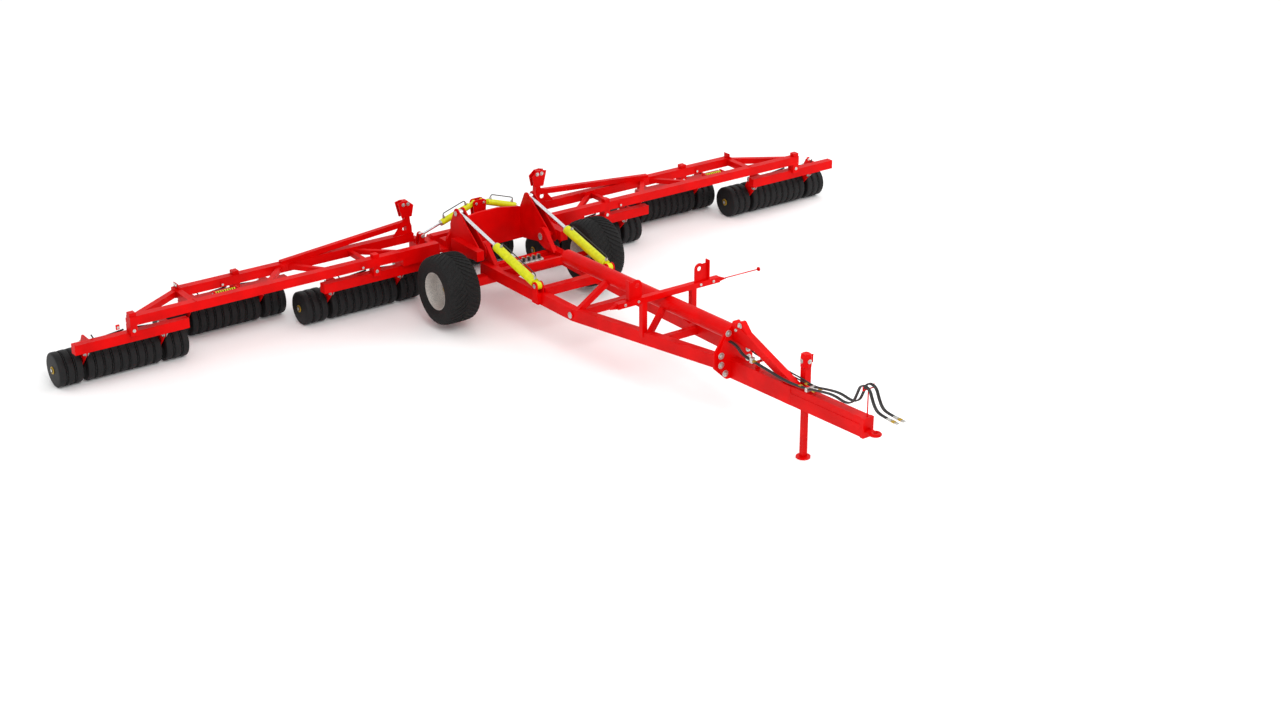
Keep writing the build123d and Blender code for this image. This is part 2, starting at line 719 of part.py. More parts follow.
def gang_frame(centre_x, axis_y, hanger_top, tube_length=GANG_TUBE_LENGTH):
    """Front tube, hanger and two bearing brackets of one ring gang."""
    tube_y = axis_y - GANG_TUBE_AHEAD
    tube_low = GANG_TUBE_TOP - GANG_TUBE_TALL
    block(
        (centre_x - tube_length / 2, centre_x + tube_length / 2),
        (tube_y - GANG_TUBE_WIDE / 2, tube_y + GANG_TUBE_WIDE / 2),
        (tube_low, GANG_TUBE_TOP),
    )
    if hanger_top > GANG_TUBE_TOP:
        block((centre_x - 60, centre_x + 60), (tube_y - 140, tube_y + 20), (GANG_TUBE_TOP - 40, hanger_top))
    for bearing_x in (centre_x - BEARING_OFFSET, centre_x + BEARING_OFFSET):
        lug(
            lengthwise(bearing_x),
            [(axis_y, RING_RADIUS, BEARING_RADIUS)],
            [
                (tube_y + GANG_TUBE_WIDE / 2, tube_low + 20),
                (tube_y + GANG_TUBE_WIDE / 2, GANG_TUBE_TOP - 20),
                (axis_y - 250, GANG_TUBE_TOP - 20),
            ],
            BEARING_PLATE,
        )
        bore(lengthwise(bearing_x), axis_y, RING_RADIUS, SHAFT_RADIUS + RUNNING_GAP, 2 * BEARING_PLATE)


with BuildPart() as gang_frame_centre:
    gang_frame(0, REAR_AXIS, GANG_TUBE_TOP, CENTRE_TUBE_LENGTH)
gang_frame_centre.part.label = "gang_frame_centre"
export_step(gang_frame_centre.part, "parts/gang_frame_centre.step")

# Wings, one for each side
for name, side in SIDES:
    with BuildPart() as wing_frame:
        block((side * ROOT_X, side * TIP_X), FRONT_CHORD, (CHORD_LOW, CHORD_TOP))
        block((side * POST_X, side * (KINK_X + 60)), REAR_CHORD, (CHORD_LOW, CHORD_TOP))
        block((side * ROOT_X, side * (POST_X + 20)), REAR_CHORD, (850, 1050))
        block((side * ROOT_X, side * 1820), FRONT_CHORD, (900, CHORD_TOP))
        block((side * ROOT_X, side * 1240), (FRONT_CHORD[1] - 10, REAR_CHORD[0] + 10), (860, 990))
        beam((side * 1290, 1540, 1100), (side * 1345, 1540, 1745), 110, 90)
        beam((side * 1320, 1540, 1350), (side * 3700, 1540, 1150), 90, 90)
        # Members between the chords: front x, rear x, size
        for front_x, rear_x, size in (
            (1700, 2450, 80),
            (2450, 2450, 80),
            (3100, 3600, 80),
            (4300, 3700, 80),
            (KINK_X, KINK_X, 110),
        ):
            beam((side * front_x, 870, 1085), (side * rear_x, 1540, 1085), size, size)
        beam((side * KINK_X, 1540, 1085), (side * (TIP_X - 60), 900, 1075), 100, 100)
        block((side * (TIP_X - 110), side * (TIP_X - 10)), (880, 1000), (CHORD_LOW, 1092))
        for lug_y in (930, 1560):
            lug(
                crosswise(lug_y),
                [(side * HINGE[0], HINGE[1], HINGE_LUG)],
                [(side * (ROOT_X + 20), 865), (side * (ROOT_X + 20), 975)],
                60,
            )
            bore(crosswise(lug_y), side * HINGE[0], HINGE[1], HINGE_PIN + RUNNING_GAP, 70)
        for plate_y in (CYLINDER_Y - 50, CYLINDER_Y + 50):
            lug(
                crosswise(plate_y),
                [(side * WING_PIN[0], WING_PIN[1], 48)],
                [(side * (ROOT_X + 5), 980), (side * 1235, 980)],
                LUG_PLATE,
            )
        rod(
            (side * WING_PIN[0], CYLINDER_Y - 70, WING_PIN[1]),
            (side * WING_PIN[0], CYLINDER_Y - 41, WING_PIN[1]),
            30,
        )
    wing_frame.part.label = f"wing_frame_{name}"
    export_step(wing_frame.part, f"parts/wing_frame_{name}.step")

    with BuildPart() as gang_frames:
        for centre_x, axis_y in (
            (INNER_GANG_X, FRONT_AXIS),
            (MIDDLE_GANG_X, REAR_AXIS),
            (OUTER_GANG_X, FRONT_AXIS),
        ):
            gang_frame(side * centre_x, axis_y, CHORD_LOW)
    gang_frames.part.label = f"gang_frames_{name}"
    export_step(gang_frames.part, f"parts/gang_frames_{name}.step")

# Ring gangs: three groups of rings on one shaft, each ring a flat crest between grooves
GANGS = (
    ("centre", 0, REAR_AXIS),
    ("inner_left", INNER_GANG_X, FRONT_AXIS),
    ("middle_left", MIDDLE_GANG_X, REAR_AXIS),
    ("outer_left", OUTER_GANG_X, FRONT_AXIS),
    ("inner_right", -INNER_GANG_X, FRONT_AXIS),
    ("middle_right", -MIDDLE_GANG_X, REAR_AXIS),
    ("outer_right", -OUTER_GANG_X, FRONT_AXIS),
)


def gang_stations():
    """Outline of a gang from its middle: (x, apothem) over three groups of rings and their shaft."""
    groove = (UNIT_PITCH - RING_WIDTH) / 2
    shaft = SHAFT_RADIUS * SHAFT_FLATNESS
    x = -GANG_LENGTH / 2
    stations = [(x - SHAFT_STUB, shaft)]
    for count in (OUTER_GROUP, MIDDLE_GROUP, OUTER_GROUP):
        stations.append((x, shaft))
        stations.append((x + FACE_SLOPE, RING_RADIUS - GROOVE_DEPTH))
        for unit in range(count):
            stations.append((x + groove, RING_RADIUS))
            stations.append((x + groove + RING_WIDTH, RING_RADIUS))
            x += UNIT_PITCH
            low = RING_RADIUS - GROOVE_DEPTH
            stations.append((x, low) if unit < count - 1 else (x - FACE_SLOPE, low))
        stations.append((x, shaft))
        x += BEARING_GAP
    stations.append((GANG_LENGTH / 2 + SHAFT_STUB, shaft))
    return stations


with BuildPart() as gang_pattern:
    turned((0, RING_RADIUS), gang_stations(), RING_SIDES)

for name, centre_x, axis_y in GANGS:
    with BuildPart() as ring_gang:
        add(gang_pattern.part.moved(Location((centre_x, axis_y, 0))))
    ring_gang.part.label = f"ring_gang_{name}"
    export_step(ring_gang.part, f"parts/ring_gang_{name}.step")


def cylinder(kind, name, base, tip, sizes):
    """Barrel with its base eye and rod with its end eye, along the line from base to tip."""
    barrel_radius, rod_radius, barrel_length, eye_radius, eye_wide, pin_radius, engaged, neck_length = sizes
    plane, length = run_plane(base, tip)
    pin_dir = Vector(1, 0, 0) if kind == "tilt" else Vector(0, 1, 0)
    with BuildPart() as barrel:
        with BuildSketch(plane.offset(eye_radius + neck_length)) as tube:
            Circle(barrel_radius)
        extrude(tube.sketch, amount=barrel_length - eye_radius - neck_length)
        with BuildSketch(plane) as neck:
            Rectangle(eye_wide, eye_wide)
        extrude(neck.sketch, amount=eye_radius + neck_length + 5)
        eye_plane = Plane(origin=plane.origin, x_dir=plane.z_dir, z_dir=pin_dir)
        with BuildSketch(eye_plane) as eye:
            Circle(eye_radius)
        extrude(eye.sketch, amount=eye_wide / 2, both=True)
        with BuildSketch(eye_plane) as eye_bore:
            Circle(pin_radius + RUNNING_GAP)
        extrude(eye_bore.sketch, amount=eye_wide, both=True, mode=Mode.SUBTRACT)
        with BuildSketch(plane.offset(barrel_length)) as mouth:
            Circle(rod_radius + RUNNING_GAP)
        extrude(mouth.sketch, amount=-(barrel_length - eye_radius - neck_length - 25), mode=Mode.SUBTRACT)
    barrel.part.label = f"{kind}_barrel_{name}"
    export_step(barrel.part, f"parts/{kind}_barrel_{name}.step")
    with BuildPart() as piston_rod:
        with BuildSketch(plane.offset(barrel_length - engaged)) as bar:
            Circle(rod_radius)
        extrude(bar.sketch, amount=length - barrel_length + engaged)
        tip_plane = Plane(origin=plane.origin + plane.z_dir * length, x_dir=plane.z_dir, z_dir=pin_dir)
        with BuildSketch(tip_plane) as end_eye:
            Circle(eye_radius - 5)
        extrude(end_eye.sketch, amount=eye_wide / 2, both=True)
    piston_rod.part.label = f"{kind}_rod_{name}"
    export_step(piston_rod.part, f"parts/{kind}_rod_{name}.step")


TILT_SIZES = (
    TILT_BARREL_RADIUS,
    TILT_ROD_RADIUS,
    TILT_BARREL_LENGTH,
    TILT_EYE_RADIUS,
    TILT_EYE_WIDE,
    TILT_PIN,
    TILT_ENGAGED,
    TILT_NECK,
)
WING_SIZES = (
    WING_BARREL_RADIUS,
    WING_ROD_RADIUS,
    WING_BARREL_LENGTH,
    WING_EYE_RADIUS,
    WING_EYE_WIDE,
    WING_CYLINDER_PIN,
    WING_ENGAGED,
    WING_NECK,
)
for name, side in SIDES:
    cylinder("tilt", name, (side * ARM_X, *TILT_BASE), (side * ARM_X, *APEX), TILT_SIZES)
    cylinder(
        "wing",
        name,
        (side * TOWER_PIN[0], CYLINDER_Y, TOWER_PIN[1]),
        (side * WING_PIN[0], CYLINDER_Y, WING_PIN[1]),
        WING_SIZES,
    )
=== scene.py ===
"""Ring roller in working position: a red folding frame on seven gangs of cast rings, for one camera."""
import math

import bmesh
import bpy
from mathutils import Matrix, Vector


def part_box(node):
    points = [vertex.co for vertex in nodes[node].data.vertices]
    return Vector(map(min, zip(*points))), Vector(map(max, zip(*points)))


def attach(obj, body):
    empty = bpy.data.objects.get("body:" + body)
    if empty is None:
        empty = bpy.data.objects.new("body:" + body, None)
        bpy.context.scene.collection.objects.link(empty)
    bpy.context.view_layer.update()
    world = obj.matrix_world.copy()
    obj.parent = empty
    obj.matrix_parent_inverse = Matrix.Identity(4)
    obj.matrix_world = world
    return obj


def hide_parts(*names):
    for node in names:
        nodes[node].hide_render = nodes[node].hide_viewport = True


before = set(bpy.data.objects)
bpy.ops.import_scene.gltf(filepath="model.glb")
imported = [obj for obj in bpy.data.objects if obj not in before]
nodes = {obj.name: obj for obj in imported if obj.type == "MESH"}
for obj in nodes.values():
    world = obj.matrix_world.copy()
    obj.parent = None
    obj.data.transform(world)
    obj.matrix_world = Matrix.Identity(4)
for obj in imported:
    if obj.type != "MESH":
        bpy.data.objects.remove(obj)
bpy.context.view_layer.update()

# Welded frame: drawbar, chassis, tilt frame, wings and gang frames are mild steel tube and plate,
# cut, welded and then powder coated in one signal red. The coat is thick and slightly uneven,
# with a little dust where the steel lies flat.
RED_COAT = "#D20000"
RED_COAT_SHADE = "#BE0000"
COAT_RIPPLE = 0.012


def linear(hex_code):
    """Linear RGBA from an sRGB hex colour."""
    channels = [int(hex_code[i:i + 2], 16) / 255 for i in (1, 3, 5)]
    return [c / 12.92 if c <= 0.04045 else ((c + 0.055) / 1.055) ** 2.4 for c in channels] + [1.0]


def add(tree, kind, settings=None, **inputs):
    """One node with its properties set, and its inputs set to values or linked to sockets."""
    made = tree.nodes.new(kind)
    for key, value in (settings or {}).items():
        setattr(made, key, value)
    for key, value in inputs.items():
        socket = made.inputs[key.replace("_", " ")]
        if isinstance(value, bpy.types.NodeSocket):
            tree.links.new(value, socket)
        else:
            socket.default_value = value
    return made


def finish_of(name, **values):
    """A new material with one principled shader: returns the material, its tree and its shader."""
    made = bpy.data.materials.new(name)
    made.use_nodes = True
    tree = made.node_tree
    shader = tree.nodes["Principled BSDF"]
    for key, value in values.items():
        shader.inputs[key.replace("_", " ")].default_value = value
    return made, tree, shader


def mottle(tree, scale_mm, low, high, detail=3.0):
    """Colour that wanders between two hex values in patches of about scale_mm."""
    place = add(tree, "ShaderNodeTexCoord").outputs["Object"]
    noise = add(tree, "ShaderNodeTexNoise", Vector=place, Scale=1000.0 / scale_mm, Detail=detail)
    ramp = add(tree, "ShaderNodeValToRGB", Fac=noise.outputs["Fac"])
    ramp.color_ramp.elements[0].position = 0.35
    ramp.color_ramp.elements[1].position = 0.65
    ramp.color_ramp.elements[0].color = linear(low)
    ramp.color_ramp.elements[1].color = linear(high)
    return ramp.outputs["Color"]


def relief(tree, shader, scale_mm, depth_mm, detail=2.0):
    """Fine uneven surface: bumps of about scale_mm across and depth_mm deep."""
    place = add(tree, "ShaderNodeTexCoord").outputs["Object"]
    noise = add(tree, "ShaderNodeTexNoise", Vector=place, Scale=1000.0 / scale_mm, Detail=detail)
    bump = add(tree, "ShaderNodeBump", Height=noise.outputs["Fac"], Distance=depth_mm / 1000.0, Strength=0.6)
    tree.links.new(bump.outputs["Normal"], shader.inputs["Normal"])


def powder_coated_steel():
    """Powder coat: a soft satin red that keeps its colour in shade, with ripples of about 12 mm."""
    made, tree, shader = finish_of("powder_coated_steel", Roughness=0.42, IOR=1.5, Specular_IOR_Level=0.08)
    tree.links.new(mottle(tree, 400, RED_COAT_SHADE, RED_COAT), shader.inputs["Base Color"])
    relief(tree, shader, COAT_RIPPLE * 1000, 0.4)
    return made


red_coat = powder_coated_steel()


def finish_node(name, material):
    """Gives a CAD node one material."""
    slots = nodes[name].data.materials
    slots.clear()
    slots.append(material)


for node_name in (
    "chassis_frame",
    "drawbar_nose",
    "transport_rest",
    "jack_sleeve",
    "jack_leg",
    "towing_eye",
    "hose_stay",
    "marker_rod",
    "tilt_beams",
    "tilt_arms",
    "cylinder_tower",
    "gang_frame_centre",
    "wing_frame_left",
    "wing_frame_right",
    "gang_frames_left",
    "gang_frames_right",
):
    finish_node(node_name, red_coat)

# Bolts and pins: zinc plated steel, cold formed hex heads on washers, and turned pin heads.
# They hold the drawbar's flange, the gang hangers and the bearing brackets.
ZINC_LIGHT = "#D8D8D4"
ZINC_DARK = "#9C9A94"


def zinc_plated_steel():
    """Bright zinc plate: pale grey metal with a faint cloudy grain from the bath."""
    made, tree, shader = finish_of("zinc_plated_steel", Metallic=0.85, Roughness=0.35)
    tree.links.new(mottle(tree, 12, ZINC_DARK, ZINC_LIGHT), shader.inputs["Base Color"])
    relief(tree, shader, 4, 0.1)
    return made


zinc = zinc_plated_steel()
axle_y = sum(corner.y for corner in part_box("tyre_left")) / 2


def at(x, y, z):
    """Point in the row frame, with y counted from the wheel axle as on the drawings."""
    return Vector((x, axle_y + y, z))


def facing(direction):
    """Rotation that turns +Z to a direction."""
    return Vector(direction).to_track_quat("Z", "Y").to_matrix().to_4x4()


def put(name, bm, material, body, smooth_angle=35):
    """Makes a mesh piece from a bmesh in the row frame and lets it ride on a CAD body."""
    bmesh.ops.recalc_face_normals(bm, faces=bm.faces)
    data = bpy.data.meshes.new(name)
    bm.to_mesh(data)
    bm.free()
    data.materials.append(material)
    data.shade_smooth()
    piece = bpy.data.objects.new(name, data)
    bpy.context.scene.collection.objects.link(piece)
    split = piece.modifiers.new("crisp_edges", "EDGE_SPLIT")
    split.split_angle = math.radians(smooth_angle)
    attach(piece, body)
    return piece


def turned(bm, profile, place, segments=32, open_ended=False):
    """Adds a turned form: profile of (along, radius) round the place's +Z."""
    rings = []
    for along, radius in profile:
        ring = []
        for k in range(segments):
            angle = 2 * math.pi * k / segments
            point = Vector((radius * math.cos(angle), radius * math.sin(angle), along))
            ring.append(bm.verts.new(place @ point))
        rings.append(ring)
    for lower, upper in zip(rings, rings[1:]):
        for k in range(segments):
            after = (k + 1) % segments
            bm.faces.new((lower[k], lower[after], upper[after], upper[k]))
    if not open_ended:
        bm.faces.new(rings[0])
        bm.faces.new(rings[-1])


def hex_bolt(bm, point, direction, across=0.046):
    """Adds a hex head on a washer, with its chamfered top, seated at a point."""
    place = Matrix.Translation(point) @ facing(direction)
    corner = across / 2 / math.cos(math.pi / 6)
    turned(bm, [(0, across * 0.98), (0.006, across * 0.98), (0.008, across * 0.93)], place, 24)
    turned(
        bm,
        [(0.008, corner), (across * 0.55, corner), (across * 0.66, corner * 0.86)],
        place,
        6,
    )


def pin_head(bm, point, direction, radius=0.045, thick=0.018):
    """Adds a turned pin head with a chamfer and a small centre dimple."""
    place = Matrix.Translation(point) @ facing(direction)
    turned(
        bm,
        [
            (0, radius),
            (thick * 0.7, radius),
            (thick, radius * 0.88),
            (thick, radius * 0.3),
            (thick * 0.7, radius * 0.24),
        ],
        place,
        28,
    )


# The nose is bolted to the chassis by eight bolts round the flange, heads to the front, and its brace
# hangs in the lug above on two more. Discs of bare steel close the cross tube at the beams' kink.
FLANGE_BOLTS = ((0.255, 1.20), (0.255, 1.05), (0.175, 0.90), (0.125, 1.53))
LUG_BOLTS = ((-5.93, 1.69), (-5.86, 1.60))
KINK = (0.690, -2.440, 0.840)

bm = bmesh.new()
for side in (1, -1):
    for bolt_x, bolt_z in FLANGE_BOLTS:
        hex_bolt(bm, at(side * bolt_x, -5.760, bolt_z), (0, -1, 0), 0.055)
    for bolt_y, bolt_z in LUG_BOLTS:
        hex_bolt(bm, at(side * 0.05, bolt_y, bolt_z), (side, 0, 0), 0.045)
    pin_head(bm, at(side * KINK[0], KINK[1], KINK[2]), (side, 0, 0), 0.053, 0.012)
put("flange_bolts", bm, zinc, "chassis")


def block(bm, low, high, chamfer=0.004):
    """Adds a box between two corners, with its edges chamfered."""
    centre = (Vector(low) + Vector(high)) / 2
    size = [abs(b - a) for a, b in zip(low, high)]
    shape = Matrix.Translation(centre) @ Matrix.Diagonal((*size, 1))
    made = bmesh.ops.create_cube(bm, size=1, matrix=shape)
    edges = list({edge for vert in made["verts"] for edge in vert.link_edges})
    bmesh.ops.bevel(bm, geom=edges, offset=chamfer, segments=1, affect="EDGES")


def bar(bm, start, end, radius, sides=14):
    """Adds a round bar between two points."""
    run = end - start
    turned(bm, [(0, radius), (run.length, radius)], Matrix.Translation(start) @ facing(run), sides)


def cut_plate(bm, outline, across, thick):
    """Adds a flat plate: an outline of points, given a thickness along one direction."""
    half = Vector(across).normalized() * thick / 2
    near = [bm.verts.new(point - half) for point in outline]
    far = [bm.verts.new(point + half) for point in outline]
    bm.faces.new(near)
    bm.faces.new(far)
    for k in range(len(outline)):
        bm.faces.new((near[k - 1], near[k], far[k], far[k - 1]))


# Nose beam: folded side sheets of 6 mm, welded on over the beam's lower part, and a patch over
# their rear end. Their upper edge leaves the long seam that runs to the front plate.
NOSE_SIDE = 0.080
SHEET_THICK = 0.006
SEAM_HEIGHT = 0.19
PATCH = (-6.98, -7.16)


def nose_low(y):
    """Height of the nose beam's lower edge at y."""
    return 0.800 + (0.965 - 0.800) * (y + 5.730) / (-8.680 + 5.730)


bm = bmesh.new()
for side in (1, -1):
    x = side * (NOSE_SIDE + SHEET_THICK / 2)
    ends = (PATCH[1], -8.672)
    outline = [at(x, y, nose_low(y) + 0.004) for y in ends]
    outline += [at(x, y, nose_low(y) + SEAM_HEIGHT) for y in reversed(ends)]
    cut_plate(bm, outline, (1, 0, 0), SHEET_THICK)
    outline = [at(x, y, nose_low(y) + 0.002) for y in PATCH]
    outline += [at(x, y, nose_low(y) + 0.296) for y in reversed(PATCH)]
    cut_plate(bm, outline, (1, 0, 0), 1.6 * SHEET_THICK)
put("nose_sheets", bm, red_coat, "chassis")

# Towing eye: a forged ring of oval section on a flat shank, welded to the nose's front plate
# and coated with the frame.
EYE = (0, -8.889, 1.070)
EYE_MIDDLE = 0.060
EYE_HALF_WIDE = 0.035
EYE_HALF_TALL = 0.025


def hoop(bm, place, radius, half_wide, half_tall, around=48, across=16):
    """Adds a closed ring with an oval section round the place's +Z."""
    rings = []
    for k in range(around):
        turn = 2 * math.pi * k / around
        ring = []
        for j in range(across):
            tilt = 2 * math.pi * j / across
            reach = radius + half_wide * math.cos(tilt)
            point = Vector((reach * math.cos(turn), reach * math.sin(turn), half_tall * math.sin(tilt)))
            ring.append(bm.verts.new(place @ point))
        rings.append(ring)
    for k in range(around):
        for j in range(across):
            after = (j + 1) % across
            bm.faces.new((rings[k - 1][j], rings[k][j], rings[k][after], rings[k - 1][after]))


bm = bmesh.new()
hoop(bm, Matrix.Translation(at(*EYE)), EYE_MIDDLE, EYE_HALF_WIDE, EYE_HALF_TALL)
block(bm, at(-0.055, EYE[1] + 0.075, EYE[2] - 0.02), at(0.055, -8.744, EYE[2] + 0.02), 0.006)
eye = put("forged_eye", bm, red_coat, "chassis", 50)
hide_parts("towing_eye")

# Drawbar jack: the square steel sleeve wears a folded cap over its gearbox, held by two bolts. The
# cap is hollow, so that the leg can rise into it.
JACK = (0.155, -7.200)
CAP_HALF = 0.078
CAP_LOW = 1.450
CAP_TOP = 1.650
CAP_BORE = 0.0425
CAP_BORE_TOP = 1.6465

bm = bmesh.new()
levels = (
    (CAP_BORE_TOP, CAP_BORE, 0.95),
    (CAP_LOW, CAP_BORE, 0.95),
    (CAP_LOW, CAP_HALF, 0.45),
    (CAP_TOP - 0.04, CAP_HALF, 0.45),
    (CAP_TOP, 0.72 * CAP_HALF, 0.45),
)
rims = []
for z, half, flat in levels:
    corners = ((-1, -flat), (-flat, -1), (flat, -1), (1, -flat), (1, flat), (flat, 1), (-flat, 1), (-1, flat))
    rims.append([bm.verts.new(at(JACK[0] + half * u, JACK[1] + half * v, z)) for u, v in corners])
for lower, upper in zip(rims, rims[1:]):
    for k in range(8):
        bm.faces.new((lower[k - 1], lower[k], upper[k], upper[k - 1]))
bm.faces.new(rims[0])
bm.faces.new(rims[-1])
put("jack_cap", bm, red_coat, "chassis", 25)
bm = bmesh.new()
hex_bolt(bm, at(JACK[0] - CAP_HALF, JACK[1] + 0.01, 1.545), (-1, 0, 0), 0.035)
hex_bolt(bm, at(JACK[0], JACK[1] - CAP_HALF, 1.545), (0, -1, 0), 0.035)
put("jack_bolts", bm, zinc, "chassis")

# Hydraulic hoses: black rubber over steel braid, 24 mm across. They leave the flange, pass two
# clamps on the nose, rise over the stay and end in quick couplers for the tractor.
# Each hose: name, x at the rear, lift at the rear, x at the front.
HOSES = (
    ("outer_right", -0.118, 0.0, -0.074),
    ("inner_right", -0.086, 0.0, -0.044),
    ("inner_left", 0.080, 0.0, 0.044),
    ("outer_left", 0.086, 0.038, 0.074),
)
# Each point: y from the axle, z, share of the way from the rear's x and lift to the front's, sway.
HOSE_ROUTE = (
    (-5.760, 1.400, 0, 0),
    (-5.925, 1.400, 0, 0),
    (-6.055, 1.290, 0, 0.002),
    (-6.300, 1.281, 0, -0.006),
    (-6.640, 1.256, 0, 0.006),
    (-6.960, 1.240, 0, -0.004),
    (-7.220, 1.242, 0.1, 0),
    (-7.500, 1.254, 1, 0.004),
    (-7.790, 1.330, 1, -0.006),
    (-8.060, 1.372, 1, 0.005),
    (-8.320, 1.345, 1, -0.003),
    (-8.475, 1.410, 1, 0),
    (-8.550, 1.572, 1, 0),
    (-8.620, 1.742, 1, 0),
    (-8.800, 1.742, 1, 0),
    (-8.875, 1.570, 1, 0),
    (-8.960, 1.458, 1, 0),
    (-9.100, 1.434, 1, 0),
    (-9.265, 1.434, 1, 0),
)
HOSE_DIAMETER = 0.024


def hose_rubber():
    """Hose cover: extruded rubber, near black and half glossy, with a cloth-wrapped grain of 3 mm."""
    made, tree, shader = finish_of("hose_rubber", Roughness=0.5, IOR=1.52)
    tree.links.new(mottle(tree, 15, "#0B0B0B", "#1A1A1A"), shader.inputs["Base Color"])
    relief(tree, shader, 3, 0.2)
    return made


hose_cover = hose_rubber()


def hose(name, points, diameter, material, body):
    """Hose or pipe: a smooth line near given control points, straight at both ends."""
    data = bpy.data.curves.new(name, "CURVE")
    data.dimensions = "3D"
    data.bevel_depth = diameter / 2
    data.bevel_resolution = 3
    data.resolution_u = 8
    data.use_fill_caps = True
    spline = data.splines.new("NURBS")
    spline.points.add(len(points) - 1)
    for knot, point in zip(spline.points, points):
        knot.co = (*point, 1)
    spline.order_u = 3
    spline.use_endpoint_u = True
    data.materials.append(material)
    piece = bpy.data.objects.new(name, data)
    bpy.context.scene.collection.objects.link(piece)
    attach(piece, body)
    return piece


# Couplers: a crimped sleeve on the hose's end, a hex body with a yellow dust ring, and the plug.
PASSIVATE_LIGHT = "#C8A63C"
PASSIVATE_DARK = "#9A7A22"


def yellow_passivated_steel():
    """Zinc with a yellow chromate: warm metal that drifts from straw to green gold."""
    made, tree, shader = finish_of("yellow_passivated_steel", Metallic=0.8, Roughness=0.38)
    tree.links.new(mottle(tree, 10, PASSIVATE_DARK, PASSIVATE_LIGHT), shader.inputs["Base Color"])
    relief(tree, shader, 4, 0.1)
    return made


passivated = yellow_passivated_steel()

for name, rear_x, lift, front_x in HOSES:
    place = Matrix.Translation(at(front_x, -9.185, 1.434)) @ facing((0, -1, 0))
    bm = bmesh.new()
    turned(bm, [(0, 0.0135), (0.004, 0.0145), (0.040, 0.0145), (0.044, 0.012)], place, 20)
    turned(bm, [(0.044, 0.0155), (0.085, 0.0155)], place, 6)
    turned(bm, [(0.085, 0.011), (0.170, 0.011), (0.175, 0.0135), (0.200, 0.0135), (0.205, 0.008)], place, 20)
    turned(bm, [(0.205, 0.008), (0.219, 0.007)], place, 20)
    coupler = put(f"quick_coupler_{name}", bm, zinc, "chassis")
    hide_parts("hose_couplers")
    bm = bmesh.new()
    turned(bm, [(0.095, 0.012), (0.098, 0.0148), (0.150, 0.0148), (0.153, 0.012)], place, 20)
    grip = put(f"coupler_grip_{name}", bm, passivated, "chassis")
    route = []
    for y, z, share, sway in HOSE_ROUTE:
        route.append(at(rear_x + (front_x - rear_x) * share + sway, y, z + lift * (1 - share)))
    line = hose(f"drawbar_hose_{name}", route, HOSE_DIAMETER, hose_cover, "chassis")
    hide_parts(f"hose_{name}")

# Hose clamps: plated blocks on the two small stands welded to the nose, which the hoses pass through.
# Yellow passivated unions sit on the hoses beside them.
CLAMP_REAR = -6.300
CLAMP_FRONT = -7.500

blocks = bmesh.new()
unions = bmesh.new()
block(blocks, at(-0.135, CLAMP_REAR - 0.03, 1.244), at(-0.066, CLAMP_REAR + 0.03, 1.330), 0.005)
block(blocks, at(0.062, CLAMP_REAR - 0.03, 1.244), at(0.112, CLAMP_REAR + 0.03, 1.345), 0.005)
block(blocks, at(-0.092, CLAMP_FRONT - 0.025, 1.215), at(0.092, CLAMP_FRONT + 0.025, 1.275), 0.005)
for name, rear_x, lift, front_x in HOSES:
    rear = Matrix.Translation(at(rear_x, CLAMP_REAR - 0.075, 1.281 + lift)) @ facing((0, 1, 0))
    turned(unions, [(0, 0.0135), (0.004, 0.0165), (0.045, 0.0165)], rear, 6)
    for reach in (0.13, -0.17):
        front = Matrix.Translation(at(front_x, CLAMP_FRONT + reach, 1.262 - 0.1 * reach)) @ facing((0, 1, 0))
        turned(unions, [(0, 0.0135), (0.004, 0.017), (0.045, 0.017), (0.049, 0.0135)], front, 6)
put("hose_clamps", blocks, zinc, "chassis")
put("hose_unions", unions, passivated, "chassis")

# Gang bearings: cast housings between the ring groups, each held in a welded bracket plate by two
# plated bolts. The heads show on both faces of the plate.
GANG_PLACES = (
    ("centre", 0.0, 2.230, "tilt_frame"),
    ("inner_left", 2.315, 1.540, "wing_left"),
    ("middle_left", 4.512, 2.230, "wing_left"),
    ("outer_left", 6.603, 1.540, "wing_left"),
    ("inner_right", -2.315, 1.540, "wing_right"),
    ("middle_right", -4.512, 2.230, "wing_right"),
    ("outer_right", -6.603, 1.540, "wing_right"),
)
BEARING_X = 0.656
BRACKET_BOLTS = ((-0.323, 0.571), (-0.178, 0.698))

for name, gang_x, gang_y, body in GANG_PLACES:
    bm = bmesh.new()
    for bearing in (-BEARING_X, BEARING_X):
        for face in (-1, 1):
            for bolt_y, bolt_z in BRACKET_BOLTS:
                point = at(gang_x + bearing + face * 0.015, gang_y + bolt_y, bolt_z)
                hex_bolt(bm, point, (face, 0, 0), 0.05)
    put(f"bracket_bolts_{name}", bm, zinc, body)

# Ring gangs: grey cast iron rings on a common shaft, cast in sand and dipped in black paint.
# Smooth wide rings do the pressing, and a toothed breaker ring sits loose in each gap between them.
RING_PITCH = 0.140
GANG_HEIGHT = 0.281
GROUPS = ((-1.102, 3), (-0.630, 9), (0.682, 3))
RING_SEGMENTS = 48
BREAKER_TEETH = 30
RING_PROFILE = (
    (0.009, 0.150),
    (0.011, 0.232),
    (0.014, 0.262),
    (0.020, 0.273),
    (0.032, 0.280),
    (0.050, 0.281),
    (0.090, 0.281),
    (0.108, 0.280),
    (0.120, 0.273),
    (0.126, 0.262),
    (0.129, 0.232),
    (0.131, 0.150),
)
IRON_DARK = "#0B0B0C"
IRON_LIGHT = "#1E1E1F"


def painted_cast_iron():
    """Black dipped cast iron: sandy skin with 6 mm grain, worn a little lighter in patches."""
    made, tree, shader = finish_of("painted_cast_iron", Roughness=0.55, IOR=1.5, Specular_IOR_Level=0.2)
    tree.links.new(mottle(tree, 9, IRON_DARK, IRON_LIGHT, 5.0), shader.inputs["Base Color"])
    relief(tree, shader, 6, 1.2, 4.0)
    return made


iron = painted_cast_iron()


